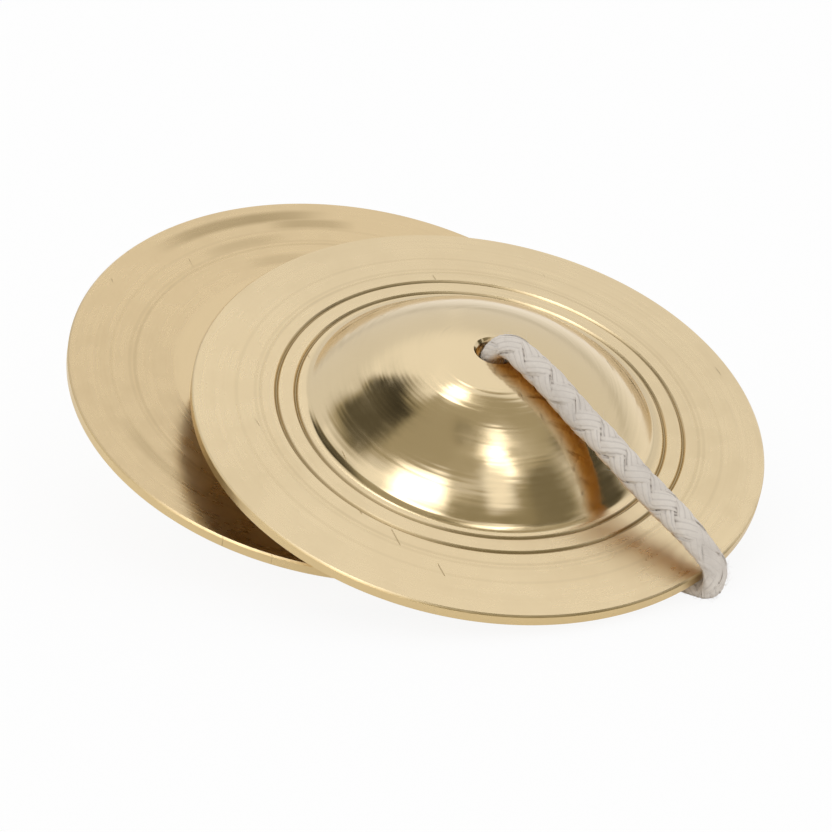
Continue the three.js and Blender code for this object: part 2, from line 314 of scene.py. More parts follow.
@dataclass(frozen=True)
class CymbalProfile:
    """The turned outline of one cymbal, in millimetres and degrees."""

    rim_radius: float = 40.0
    plate: float = 1.8
    rim_dish: float = 3.4
    face_dish: float = 1.2
    chamfer: float = 0.25
    foot_radius: float = 25.3
    foot_fillet: float = 2.4
    bell_rise: float = 11.1
    bell_wall: float = 3.4
    mouth_round: float = 0.6
    bore_radius: float = 2.45
    bore_lip: float = 0.42
    groove_radii: Pair = (25.75, 28.4)
    groove_width: float = 0.7
    groove_depth: float = 0.3
    groove_bottom: float = 0.2
    crown_steps: int = 56
    fillet_steps: int = 12
    mouth_steps: int = 8
    cavity_steps: int = 36

    @property
    def dish(self) -> float:
        """The rim's slope, in radians."""
        return math.radians(self.rim_dish)

    @property
    def foot_height(self) -> float:
        """The height of the rim's top where the bell starts."""
        return self.plate + (self.rim_radius - self.foot_radius) * math.tan(self.dish)

    @property
    def fillet_centre(self) -> Pair:
        """The centre of the hollow fillet at the bell's foot."""
        across = self.foot_radius + self.foot_fillet * math.sin(self.dish)
        return across, self.foot_height + self.foot_fillet * math.cos(self.dish)

    @property
    def crown(self) -> float:
        """The radius of the bell's round crown."""
        across, height = self.fillet_centre
        drop = height - self.foot_height - self.bell_rise
        return (across**2 + drop**2 - self.foot_fillet**2) / (2 * (self.foot_fillet - drop))

    @property
    def centre(self) -> float:
        """The height of the crown's centre."""
        return self.foot_height + self.bell_rise - self.crown

    @property
    def roof(self) -> float:
        """The height of the cavity's roof on the axis."""
        return self.centre + self.crown - self.bell_wall

    def top(self, radius: float) -> float:
        """The height of the rim's top at a radius."""
        return self.plate + (self.rim_radius - radius) * math.tan(self.dish)

    def face(self, radius: float) -> float:
        """The height of the hollow striking face at a radius."""
        return (self.rim_radius - radius) * math.tan(math.radians(self.face_dish))

    @staticmethod
    def arc(
        centre: Pair, radius: float, start: float, end: float, steps: int
    ) -> list[Pair]:
        """Points along an arc, its angles counted from the upright towards the rim.

        Args:
            centre: The arc's centre, as radius and height.
            radius: The arc's radius.
            start: The first angle, in radians.
            end: The last angle, in radians.
            steps: How many steps the arc has.

        Returns:
            The points, as radius and height.
        """
        turns = [start + (end - start) * i / steps for i in range(steps + 1)]
        return [
            (centre[0] + radius * math.sin(turn), centre[1] + radius * math.cos(turn))
            for turn in turns
        ]

    def groove(self, radius: float) -> list[Pair]:
        """The outline of one turned groove, with a flat bottom.

        Args:
            radius: The groove's radius.

        Returns:
            The points, as radius and height.
        """
        half = self.groove_width / 2
        bottom = self.top(radius) - self.groove_depth
        return [
            (radius - half, self.top(radius - half)),
            (radius - self.groove_bottom * half, bottom),
            (radius + self.groove_bottom * half, bottom),
            (radius + half, self.top(radius + half)),
        ]

    def mouth(self) -> list[Pair]:
        """The outline of the cavity's rounded mouth and roof, from the striking face inwards."""
        dish = math.radians(self.face_dish)
        inner = self.crown - self.bell_wall
        along = Vector((-math.cos(dish), math.sin(dish)))
        into = Vector((math.sin(dish), math.cos(dish)))
        start = Vector((self.rim_radius, -self.centre)) + into * self.mouth_round
        half = start.dot(along)
        reach = start.dot(start) - (inner + self.mouth_round) ** 2
        middle = start + along * (-half - math.sqrt(half * half - reach))
        turn = math.atan2(middle.x, middle.y)
        round_centre = (middle.x, middle.y + self.centre)
        lip = self.arc(
            round_centre, self.mouth_round, dish - math.pi, turn - math.pi, self.mouth_steps
        )
        bore_turn = math.asin(self.bore_radius / inner)
        return lip + self.arc((0, self.centre), inner, turn, bore_turn, self.cavity_steps)[1:]

    def outline(self) -> list[Pair]:
        """The whole closed outline, from the bore's lip over the bell and round the rim."""
        across, height = self.fillet_centre
        turn = math.atan2(across, height - self.centre)
        lip_turn = math.asin((self.bore_radius + self.bore_lip) / self.crown)
        crown = self.arc((0, self.centre), self.crown, lip_turn, turn, self.crown_steps)
        foot = self.arc(
            (across, height), self.foot_fillet, turn - math.pi, self.dish - math.pi, self.fillet_steps
        )
        edge = self.rim_radius - self.chamfer
        points = [(self.bore_radius, crown[0][1] - self.bore_lip)]
        points += crown + foot[1:]
        for radius in self.groove_radii:
            points += self.groove(radius)
        points += [
            (edge, self.top(edge)),
            (self.rim_radius, self.plate - self.chamfer),
            (self.rim_radius, self.chamfer),
            (edge, self.face(edge)),
        ]
        return points + self.mouth()


class Nodes:
    """A material's or world's node tree, with short calls for the nodes that are used here."""

    def __init__(self, tree: bpy.types.NodeTree) -> None:
        """Keep the tree.

        Args:
            tree: The node tree to fill.
        """
        self.tree = tree

    def add(self, kind: str, inputs: dict | None = None, **settings: object) -> bpy.types.Node:
        """Add a node, set its properties and its inputs.

        Args:
            kind: The node's type name.
            inputs: Input names or numbers with a value or an output socket each.
            **settings: The node's own properties.

        Returns:
            The new node.
        """
        node = self.tree.nodes.new(kind)
        for name, value in settings.items():
            setattr(node, name, value)
        for name, value in (inputs or {}).items():
            self.feed(node.inputs[name], value)
        return node

    def feed(self, socket: Socket, value: object) -> None:
        """Link an output socket to an input, or write a value in it."""
        if isinstance(value, Socket):
            self.tree.links.new(value, socket)
        else:
            socket.default_value = value

    def math(self, operation: str, *values: object) -> Socket:
        """Add a math node.

        Args:
            operation: The operation's name.
            *values: Its one, two or three values or sockets.

        Returns:
            The result's socket.
        """
        inputs = dict(enumerate(values))
        return self.add("ShaderNodeMath", inputs, operation=operation).outputs[0]

    def ramp(
        self, value: object, low: float, high: float, start: float = 0.0, end: float = 1.0
    ) -> Socket:
        """Map a value smoothly from one range to another.

        Args:
            value: The socket to map.
            low: The value that gives start.
            high: The value that gives end.
            start: The result at low.
            end: The result at high.

        Returns:
            The result's socket.
        """
        inputs = {0: value, 1: low, 2: high, 3: start, 4: end}
        node = self.add("ShaderNodeMapRange", inputs, interpolation_type="SMOOTHSTEP")
        return node.outputs[0]

    def border(self, value: Socket, border: Pair) -> Socket:
        """A soft mask that goes from none to one across a border, in millimetres."""
        return self.ramp(value, border[0] * MM, border[1] * MM)

    def bump(
        self, strength: float, depth: float, height: Socket, normal: Socket | None = None
    ) -> Socket:
        """Add a bump.

        Args:
            strength: Its strength.
            depth: Its full depth, in millimetres.
            height: The socket with its height.
            normal: The normal that it is laid on.

        Returns:
            The normal's socket.
        """
        inputs = {"Strength": strength, "Distance": depth * MM, "Height": height}
        if normal is not None:
            inputs["Normal"] = normal
        return self.add("ShaderNodeBump", inputs).outputs[0]

    def mix(self, share: object, first: object, second: object) -> Socket:
        """Mix two colours.

        Args:
            share: How much of the second colour shows.
            first: The first colour.
            second: The second colour.

        Returns:
            The mixed colour's socket.
        """
        inputs = {0: share, 6: first, 7: second}
        return self.add("ShaderNodeMix", inputs, data_type="RGBA").outputs[2]

    def noise(self, vector: object, scale: float, detail: float = 3.0) -> Socket:
        """Noise with a value about one half.

        Args:
            vector: The coordinate socket.
            scale: The noise's scale.
            detail: How many finer layers it has.

        Returns:
            The value's socket.
        """
        inputs = {"Vector": vector, "Scale": scale, "Detail": detail}
        return self.add("ShaderNodeTexNoise", inputs).outputs[0]


class TurnedNodes(Nodes):
    """The node tree of a turned piece, with its own coordinates, radius and height at hand."""

    def __init__(self, tree: bpy.types.NodeTree) -> None:
        """Add the nodes for the coordinates.

        Args:
            tree: The node tree to fill.
        """
        super().__init__(tree)
        self.place = self.add("ShaderNodeTexCoord").outputs["Object"]
        *self.flat, self.height = self.add("ShaderNodeSeparateXYZ", {0: self.place}).outputs
        flat = self.add("ShaderNodeCombineXYZ", dict(enumerate(self.flat))).outputs[0]
        self.radius = self.add("ShaderNodeVectorMath", {0: flat}, operation="LENGTH").outputs["Value"]

    def ring(self, middle: float, half: float, soft: float) -> Socket:
        """A soft mask that is one on a ring about the axis.

        Args:
            middle: The ring's radius, in millimetres.
            half: Half of the ring's full width, in millimetres.
            soft: The width of its soft border, in millimetres.

        Returns:
            The mask's socket.
        """
        off = self.math("ABSOLUTE", self.math("SUBTRACT", self.radius, middle * MM))
        return self.ramp(off, half * MM, (half + soft) * MM, 1.0, 0.0)


@dataclass(frozen=True)
class ShadedArc:
    """A soft arc of painted shade on the striking face, in millimetres and degrees."""

    radius: float
    angle: float
    reach: float
    half_width: float
    share: float


@dataclass(frozen=True)
class TurnedBrass:
    """Cast brass, turned on a lathe and polished on the bell.

    Colours are linear and lengths in millimetres. The lathe's lines follow the piece's own axis.
    Each border is a pair of radii or heights between which one finish goes over into the other.
    """

    rim_tone: Triple = (0.855, 0.690, 0.435)
    face_tone: Triple = (0.775, 0.600, 0.355)
    edge_tone: Triple = (0.74, 0.56, 0.29)
    # Dark brass: real tarnish in grooves, rings and scratches, and painted shade in the dark arcs on the
    # face.
    tarnish_and_shade: Triple = (0.30, 0.21, 0.09)
    cloud_shade: float = 0.93
    cloud_share: float = 0.22
    bell_roughness: float = 0.13
    rim_roughness: float = 0.29
    wear: Pair = (-0.035, 0.045)
    anisotropy: float = 0.7
    polish_border: Pair = (25.6, 24.2)
    face_border: Pair = (1.5, 0.9)
    top_border: Pair = (1.6, 2.0)
    edge_border: Pair = (0.16, 0.04)
    line_depth: float = 0.028
    line_strength: float = 0.75
    line_gloss: float = 0.16
    line_wander: float = 0.04
    line_break: float = 0.02
    line_layers: tuple[tuple[float, float, float], ...] = ((2400.0, 0.0, 0.55), (1100.0, 1.0, 0.45))
    wave_depth: float = 0.035
    wave_scale: float = 300.0
    scratch_depth: float = 1.6
    scratch_share: float = 0.45
    scratch_sets: tuple[tuple[float, float, float], ...] = (
        (0.4, 14.0, 130.0),
        (1.7, 10.0, 160.0),
        (2.6, 18.0, 110.0),
    )
    groove_share: float = 0.75
    # Painted shade: dark arcs on the striking face, the arc at bearing 76 under the upper cymbal's edge.
    shaded_arc_soft: float = 1.1
    shaded_arcs: tuple[ShadedArc, ...] = (
        ShadedArc(37.0, 176.0, 24.0, 0.5, 0.62),
        ShadedArc(35.2, -167.0, 12.0, 0.4, 0.45),
        ShadedArc(32.3, 174.0, 14.0, 0.3, 0.28),
        ShadedArc(27.6, -179.0, 12.0, 0.4, 0.22),
        ShadedArc(34.4, 76.0, 16.0, 0.3, 0.25),
    )
    worn_rings: tuple[Pair, ...] = ((30.6, 0.16), (31.3, 0.10), (33.9, 0.08))

    def build(self, name: str, profile: CymbalProfile) -> Material:
        """Make the material.

        Args:
            name: The material's name.
            profile: The cymbal's outline, which says where grooves and edge are.

        Returns:
            The material.
        """
        material = bpy.data.materials.new(name)
        material.use_nodes = True
        nodes = TurnedNodes(material.node_tree)
        shader = material.node_tree.nodes["Principled BSDF"]
        scratches = self.scratches(nodes)
        scratched = nodes.math("MULTIPLY", scratches, self.scratch_share)
        colour = nodes.mix(scratched, self.tones(nodes, profile), opaque(self.tarnish_and_shade))
        nodes.feed(shader.inputs["Base Color"], colour)
        shader.inputs["Metallic"].default_value = 1.0
        shader.inputs["Anisotropic"].default_value = self.anisotropy
        tangent = nodes.add("ShaderNodeTangent", direction_type="RADIAL", axis="Z").outputs[0]
        nodes.feed(shader.inputs["Tangent"], tangent)
        lines = self.lathe_lines(nodes)
        nodes.feed(shader.inputs["Roughness"], self.roughness(nodes, lines))
        waves = nodes.bump(1.0, self.wave_depth, self.waves(nodes))
        height = nodes.math("SUBTRACT", lines, nodes.math("MULTIPLY", scratches, self.scratch_depth))
        bump = nodes.bump(self.line_strength, self.line_depth, height, waves)
        nodes.feed(shader.inputs["Normal"], bump)
        return material

    def roughness(self, nodes: TurnedNodes, lines: Socket) -> Socket:
        """How rough the brass is: polished on the bell, duller on the rim and worn in places.

        Args:
            nodes: The material's tree.
            lines: The height of the lathe's lines.

        Returns:
            The roughness's socket.
        """
        on_bell = nodes.border(nodes.radius, self.polish_border)
        gain = self.bell_roughness - self.rim_roughness
        rough = nodes.math("MULTIPLY_ADD", on_bell, gain, self.rim_roughness)
        worn = nodes.ramp(nodes.noise(nodes.place, 260.0, 4.0), 0.3, 0.75, *self.wear)
        off = nodes.math("SUBTRACT", lines, 0.5)
        return nodes.math("ADD", nodes.math("ADD", rough, worn), nodes.math("MULTIPLY", off, self.line_gloss))

    def tones(self, nodes: TurnedNodes, profile: CymbalProfile) -> Socket:
        """The brass's colour over the piece: rim, striking face, edge, grooves and painted shade arcs on the
        face.

        Args:
            nodes: The material's tree.
            profile: The cymbal's outline.

        Returns:
            The colour's socket.
        """
        dull_and_shade = opaque(self.tarnish_and_shade)
        on_face = nodes.border(nodes.height, self.face_border)
        colour = nodes.mix(on_face, opaque(self.rim_tone), opaque(self.face_tone))
        edge = tuple(profile.rim_radius - inwards for inwards in self.edge_border)
        colour = nodes.mix(nodes.border(nodes.radius, edge), colour, opaque(self.edge_tone))
        above = nodes.border(nodes.height, self.top_border)
        for middle in profile.groove_radii:
            ring = nodes.ring(middle - 0.05, 0.16 * profile.groove_width, 0.2)
            mask = nodes.math("MULTIPLY", nodes.math("MULTIPLY", ring, above), self.groove_share)
            colour = nodes.mix(mask, colour, dull_and_shade)
        for middle, share in self.worn_rings:
            mask = nodes.math("MULTIPLY", nodes.ring(middle, 0.08, 0.3), share)
            colour = nodes.mix(mask, colour, dull_and_shade)
        # Painted shade: the dark arcs on the striking face, one of them under the upper cymbal's edge.
        colour = nodes.mix(nodes.math("MULTIPLY", self.painted_shade_arcs(nodes), on_face), colour, dull_and_shade)
        clouds = nodes.ramp(nodes.noise(nodes.place, 55.0, 2.0), 0.25, 0.8, 0.0, self.cloud_share)
        return nodes.mix(clouds, colour, opaque(tuple(self.cloud_shade * v for v in self.face_tone)))

    def painted_shade_arcs(self, nodes: TurnedNodes) -> Socket:
        """The soft dull arcs that the other rim has rubbed on the striking face.

        Args:
            nodes: The material's tree.

        Returns:
            A mask of the painted shade on the face.
        """
        made: object = 0.0
        for arc in self.shaded_arcs:
            turn = math.radians(arc.angle)
            way = (math.cos(turn), math.sin(turn), 0.0)
            dot = nodes.add("ShaderNodeVectorMath", {0: nodes.place, 1: way}, operation="DOT_PRODUCT")
            towards = nodes.math("DIVIDE", dot.outputs["Value"], nodes.radius)
            window = nodes.ramp(towards, math.cos(math.radians(arc.reach)), 1.0)
            ring = nodes.ring(arc.radius, arc.half_width, self.shaded_arc_soft)
            mask = nodes.math("MULTIPLY", nodes.math("MULTIPLY", window, ring), arc.share)
            made = nodes.math("MAXIMUM", made, mask)
        return made

    def lathe_lines(self, nodes: TurnedNodes) -> Socket:
        """The fine rings that the turning tool and the polishing leave.

        Args:
            nodes: The material's tree.

        Returns:
            The height of the lines, about one half.
        """
        wander = nodes.math("MULTIPLY", nodes.noise(nodes.place, 60.0, 1.0), self.line_wander * MM)
        along = nodes.math("ADD", nodes.radius, wander)
        slow = [nodes.math("MULTIPLY", way, self.line_break) for way in nodes.flat]
        broken = nodes.add("ShaderNodeCombineXYZ", {0: along, 1: slow[0], 2: slow[1]}).outputs[0]
        fine, coarse = (
            nodes.math("MULTIPLY", nodes.noise(broken, scale, detail), share)
            for scale, detail, share in self.line_layers
        )
        return nodes.math("ADD", fine, coarse)

    def waves(self, nodes: TurnedNodes) -> Socket:
        """The slight waves that turning leaves across rim and bell, about one half high."""
        along = nodes.add("ShaderNodeCombineXYZ", {0: nodes.radius, 1: 0.37}).outputs[0]
        return nodes.noise(along, self.wave_scale, 1.0)

    def scratches(self, nodes: TurnedNodes) -> Socket:
        """A few short scratches and dings in chance directions.

        Args:
            nodes: The material's tree.

        Returns:
            A mask that is one in a scratch.
        """
        made: object = 0.0
        for turn, stretch, scale in self.scratch_sets:
            inputs = {"Vector": nodes.place, "Rotation": (0.0, 0.0, turn), "Scale": (1.0, stretch, 1.0)}
            turned = nodes.add("ShaderNodeMapping", inputs).outputs[0]
            mask = nodes.ramp(nodes.noise(turned, scale, 1.0), 0.80, 0.83)
            made = nodes.math("MAXIMUM", made, mask)
        return made


@dataclass(frozen=True)
class PlaitedCotton:
    """Natural cotton yarn, with painted shade in the hollows between strands and yarns and a painted dark
    orange shade on the underside that faces the brass. Colours are linear.
    """

    tone: Triple = (0.72, 0.66, 0.59)
    # The darker colour: real soiling, and painted shade in the hollows of the plait.
    soil_and_shade: Triple = (0.30, 0.26, 0.23)
    # Painted shade on the underside that faces the brass.
    underside_shade: Triple = (0.60, 0.33, 0.08)
    roughness: float = 0.92
    specular: float = 0.15
    soil_share: float = 0.25
    crevice_shade_share: float = 0.9
    tuft_scale: float = 1500.0
    tuft_depth: float = 0.26

    def build(self, name: str) -> Material:
        """Make the material.

        Args:
            name: The material's name.

        Returns:
            The material, with small tufts as bump.
        """
        material = bpy.data.materials.new(name)
        material.use_nodes = True
        nodes = Nodes(material.node_tree)
        shader = material.node_tree.nodes["Principled BSDF"]
        place = nodes.add("ShaderNodeTexCoord").outputs["Object"]
        depth = nodes.add("ShaderNodeAttribute", attribute_name="depth").outputs["Fac"]
        soiled = nodes.ramp(nodes.noise(place, 180.0, 3.0), 0.35, 0.8, 0.0, self.soil_share)
        # Painted shade: darker in the hollows between strands and yarns, together with real soiling.
        share = nodes.math("MAXIMUM", soiled, nodes.ramp(depth, 0.1, 0.95, 0.0, self.crevice_shade_share))
        colour = nodes.mix(share, opaque(self.tone), opaque(self.soil_and_shade))
        under = nodes.add("ShaderNodeAttribute", attribute_name="under").outputs["Fac"]
        # Painted shade: a dark orange underside where the cord faces the brass.
        nodes.feed(shader.inputs["Base Color"], nodes.mix(under, colour, opaque(self.underside_shade)))
        shader.inputs["Roughness"].default_value = self.roughness
        shader.inputs["Specular IOR Level"].default_value = self.specular
        bump = nodes.bump(1.0, self.tuft_depth, nodes.noise(place, self.tuft_scale, 4.0))
        nodes.feed(shader.inputs["Normal"], bump)
        return material


def smooth_edges(mesh: Mesh, limit: float) -> None:
    """Shade a mesh smoothly, apart from edges sharper than a limit.

    Args:
        mesh: The mesh to change.
        limit: The angle between two faces, in degrees, above which their edge stays sharp.
    """
    work = bmesh.new()
    work.from_mesh(mesh)
    bmesh.ops.recalc_face_normals(work, faces=work.faces)
    for edge in work.edges:
        edge.smooth = len(edge.link_faces) != 2 or edge.calc_face_angle(0) < math.radians(limit)
    work.to_mesh(mesh)
    work.free()
    for polygon in mesh.polygons:
        polygon.use_smooth = True


def piece(name: str, mesh: Mesh, material: Material) -> Object:
    """Put a mesh in the scene as an object with one material.

    Args:
        name: The object's name.
        mesh: The mesh.
        material: Its material.

    Returns:
        The object.
    """
    mesh.materials.append(material)
    made = bpy.data.objects.new(name, mesh)
    bpy.context.scene.collection.objects.link(made)
    return made


@dataclass
class Cymbal:
    """One turned cymbal."""

    side: Side
    layout: Layout
    profile: CymbalProfile
    material: Material
    segments: int = 288

    def mesh(self) -> Mesh:
        """Turn the outline about the axis."""
        outline = self.profile.outline()
        turns = np.linspace(0, 2 * math.pi, self.segments, endpoint=False)
        rings = [
            np.column_stack((r * np.cos(turns), r * np.sin(turns), np.full(self.segments, z)))
            for r, z in outline
        ]
        points = np.vstack(rings) * MM
        faces = []
        for i in range(len(outline)):
            j = (i + 1) % len(outline)
            for k in range(self.segments):
                after = (k + 1) % self.segments
                faces.append(
                    (
                        i * self.segments + k,
                        j * self.segments + k,
                        j * self.segments + after,
                        i * self.segments + after,
                    )
                )
        mesh = bpy.data.meshes.new(f"{self.side.value}_cymbal_turned")
        mesh.from_pydata(points.tolist(), [], faces)
        mesh.validate()
        smooth_edges(mesh, 22)
        return mesh

    def build(self) -> Object:
        """Make the cymbal, put it in its place and let it ride on its body.

        Returns:
            The object.
        """
        node = f"{self.side.value}_cymbal"
        made = piece(f"turned_{node}", self.mesh(), self.material)
        made.matrix_world = self.layout.matrix(self.side)
        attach(made, node)
        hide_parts(node)
        return made


class Route:
    """A smooth line through points, with frames that don't twist."""

    def __init__(self, points: list[np.ndarray], spacing: float) -> None:
        """Draw the line.

        Args:
            points: The points that it goes through, in millimetres.
            spacing: The distance between the samples along it, in millimetres.
        """
        line = self.through(np.array(points, float))
        steps = np.linalg.norm(np.diff(line, axis=0), axis=1)
        along = np.concatenate(([0.0], np.cumsum(steps)))
        self.length = float(along[-1])
        count = max(2, int(round(self.length / spacing)))
        self.along = np.linspace(0, self.length, count + 1)
        self.line = np.column_stack([np.interp(self.along, along, line[:, i]) for i in range(3)])
        self.tangent = unit(np.gradient(self.line, axis=0))

    @staticmethod
    def through(points: np.ndarray, steps: int = 24) -> np.ndarray:
        """Sample a centripetal spline through the points.

        Args:
            points: The points.
            steps: The samples in each stretch between two points.

        Returns:
            The samples.
        """
        ends = np.vstack((2 * points[0] - points[1], points, 2 * points[-1] - points[-2]))
        line = [points[0]]
        for i in range(1, len(ends) - 2):
            a, b, c, d = ends[i - 1 : i + 3]
            gaps = [max(np.linalg.norm(q - p) ** 0.5, TINY) for p, q in ((a, b), (b, c), (c, d))]
            first = (b - a) / gaps[0] - (c - a) / (gaps[0] + gaps[1]) + (c - b) / gaps[1]
            last = (c - b) / gaps[1] - (d - b) / (gaps[1] + gaps[2]) + (d - c) / gaps[2]
            first, last = first * gaps[1], last * gaps[1]
            for step in range(1, steps + 1):
                t = step / steps
                line.append(
                    b
                    + first * t
                    + (3 * (c - b) - 2 * first - last) * t**2
                    + (2 * (b - c) + first + last) * t**3
                )
        return np.array(line)

    def frames(self, side: np.ndarray) -> tuple[np.ndarray, np.ndarray]:
        """Carry a side direction along the line without twist.

        Args:
            side: The direction at the start.

        Returns:
            The side directions and the directions across them.
        """
        sides = np.empty_like(self.line)
        current = np.array(side, float)
        for i, tangent in enumerate(self.tangent):
            current = current - tangent * (current @ tangent)
            current /= np.linalg.norm(current)
            sides[i] = current
        return sides, np.cross(self.tangent, sides)


@dataclass
class Plait:
    """Six flat strands braided round a route, three each way, each over one and under one.

    Lengths are in millimetres. A reach is a number of samples over which a change goes slowly.
    """

    route: Route
    side: np.ndarray
    layout: Layout | None = None
    pitch: float = 15.0
    ways: int = 3
    radius: float = 1.28
    weave: float = 0.32
    wander: float = 0.9
    wander_reach: int = 31
    strand_width: float = 1.34
    strand_height: float = 0.66
    least_height: float = 0.35
    size_change: float = 0.2
    size_reach: int = 25
    yarns: int = 8
    yarn_points: int = 3
    yarn_relief: float = 0.10
    yarn_shade: float = 0.46
    yarn_turn: float = 60.0
    relief_change: float = 1.6
    relief_reach: int = 15
    tight: float = 1.60
    give: float = 0.56
    surface: float = 1.90
    sunk: float = 0.48
    # How far the underside's painted shade reaches, and its strength.
    underside_gain: float = 1.6
    underside_start: float = 0.35
    underside_shade_share: float = 0.95
    scale: float = 1.0
    seed: int = 7

    @staticmethod
    def drift(rng: np.random.Generator, count: int, reach: int) -> np.ndarray:
        """Slow random values along a strand, about zero."""
        return np.convolve(rng.normal(0, 1, count + reach - 1), np.ones(reach) / reach, "valid")

    def course(
        self, number: int, rng: np.random.Generator, frames: Frames, flat: np.ndarray
    ) -> tuple[np.ndarray, np.ndarray, np.ndarray]:
        """Where a strand runs.

        Args:
            number: The strand's number. Even ones turn one way and odd ones the other.
            rng: The strand's random numbers.
            frames: The route's side directions and the directions across them.
            flat: The share of the full thickness at each sample.

        Returns:
            The strand's middle line, its wide direction and its high direction.
        """
        sides, across = frames
        hand = 1 - 2 * (number % 2)
        along = self.route.along + self.wander * self.drift(rng, len(flat), self.wander_reach)
        turn = 2 * math.pi * (hand * along / self.pitch + (number // 2) / self.ways)
        crossing = hand * np.cos(2 * math.pi * self.ways * self.route.along / self.pitch)
        radius = self.scale * (self.radius + self.weave * crossing)
        out = sides * np.cos(turn)[:, None] + across * (flat * np.sin(turn))[:, None]
        middle = self.route.line + out * radius[:, None]
        tangent = unit(np.gradient(middle, axis=0))
        high = sides * (flat * np.cos(turn))[:, None] + across * np.sin(turn)[:, None]
        high = unit(high - tangent * np.sum(high * tangent, axis=1)[:, None])
        return middle, np.cross(tangent, high), high

    def ribbed(
        self, rng: np.random.Generator, course: tuple[np.ndarray, ...], flat: np.ndarray
    ) -> tuple[np.ndarray, np.ndarray]:
        """Give a strand its body, with a rib for each yarn.

        Args:
            rng: The strand's random numbers.
            course: The strand's middle line, its wide direction and its high direction.
            flat: The share of the full thickness at each sample.

        Returns:
            The strand's rings of points, and which points of a ring lie between two yarns.
        """
        middle, wide, high = (part[:, None, :] for part in course)
        count, corners = len(flat), self.yarn_points * self.yarns
        twist = 2 * math.pi * self.route.along / self.yarn_turn
        angles = np.linspace(0, 2 * math.pi, corners, endpoint=False)[None, :] + twist[:, None]
        between = np.arange(corners) % self.yarn_points == 0
        change = np.stack([self.drift(rng, count, self.relief_reach) for _ in range(self.yarns)], axis=1)
        relief = 1 + self.relief_change * np.repeat(change, self.yarn_points, axis=1)
        ridge = 1 + self.yarn_relief * relief * np.where(between, -1.0, 0.5)[None, :]
        size = self.scale * (1 + self.size_change * self.drift(rng, count, self.size_reach))
        size = size[:, None] * ridge
        height = self.strand_height * (self.least_height + (1 - self.least_height) * flat)[:, None]
        rings = middle + wide * (self.strand_width * size * np.cos(angles))[:, :, None]
        return rings + high * (height * size * np.sin(angles))[:, :, None], between

    def strand(self, number: int) -> tuple[np.ndarray, np.ndarray, np.ndarray]:
        """One strand as rings of points, pressed in where it stands out of the braid.

        Args:
            number: The strand's number.

        Returns:
            The rings, and for each point how deep it lies in the braid and how far underneath.
        """
        rng = np.random.default_rng(self.seed + number)
        frames = self.route.frames(self.side)
        line = self.route.line
        flat = np.ones(len(line)) if self.layout is None else self.layout.thickness(line)
        rings, between = self.ribbed(rng, self.course(number, rng, frames, flat), flat)
        offset = rings - line[:, None, :]
        forward = np.sum(offset * self.route.tangent[:, None, :], axis=2)
        offset -= self.route.tangent[:, None, :] * forward[:, :, None]
        over, up = (np.sum(offset * way[:, None, :], axis=2) for way in frames)
        up /= flat[:, None]
        reach = np.hypot(over, up) / self.scale
        kept = self.tight + self.give * np.tanh(np.maximum(reach - self.tight, 0) / self.give)
        share = np.where(reach > self.tight, kept / np.maximum(reach, TINY), 1.0) - 1
        # depth: how deep a point lies, which sets the painted shade in the hollows between strands and yarns.
        depth = np.clip((self.surface - reach) / self.sunk, 0, 1) + self.yarn_shade * between[None, :]
        # low: how far a point is on the underside, which sets the painted shade there.
        low = self.underside_gain * up / (np.maximum(reach, TINY) * self.scale) - self.underside_start
        return rings + share[:, :, None] * offset, np.clip(depth, 0, 1), np.clip(low, 0, 1)

    def add_to(self, mesh: "StrandMesh") -> None:
        """Add the strands to a mesh.

        Args:
            mesh: The mesh in the making.
        """
        for number in range(2 * self.ways):
            rings, depth, under = self.strand(number)
            if self.layout is not None:
                rings = self.layout.pressed(rings)
                # Keep the underside's painted shade only where the cord lies over the upper cymbal.
                under = under * self.layout.over_brass(self.route.line)[:, None]
            mesh.add_tube(rings * MM, depth, under * self.underside_shade_share)


@dataclass
class Fuzz:
    """Loose cotton fibres that stand off a plait. Lengths are in millimetres."""

    route: Route
    side: np.ndarray
    per_mm: float = 24.0
    longest: float = 0.85
    shortest_share: float = 0.35
    thickness: float = 0.014
    taper: float = 0.7
    surface: float = 1.72
    width: float = 1.15
    flatness: float = 0.85
    rise: float = 0.6
    lean: float = 1.3
    curl: float = 0.5
    lowest: float = -math.inf
    seed: int = 21

    def add_to(self, mesh: "StrandMesh") -> None:
        """Add the fibres to a mesh.

        Args:
            mesh: The mesh in the making.
        """
        rng = np.random.default_rng(self.seed)
        sides, across = self.route.frames(self.side)
        for _ in range(int(self.route.length * self.per_mm)):
            i = int(rng.integers(2, len(self.route.line) - 2))
            turn = rng.uniform(0, 2 * math.pi)
            out = sides[i] * math.cos(turn) * self.width + across[i] * math.sin(turn) * self.flatness
            lean = self.route.tangent[i] * rng.uniform(-self.lean, self.lean)
            curl = rng.normal(0, self.curl, 3)
            reach = self.longest * rng.uniform(self.shortest_share, 1.0)
            start = self.route.line[i] + out * self.surface
            rings = []
            for share in (0.0, 1 / 3, 2 / 3, 1.0):
                spot = start + (out * self.rise + lean) * reach * share + curl * reach * share**2
                half = self.thickness * (1 - self.taper * share)
                ring = (sides[i] * half, across[i] * half, -(sides[i] + across[i]) * half)
                rings.append([spot + corner for corner in ring])
            made = np.array(rings)
            made[..., 2] = np.maximum(made[..., 2], self.lowest)
            made *= MM
            mesh.add_tube(made, np.zeros(made.shape[:2]), np.zeros(made.shape[:2]))


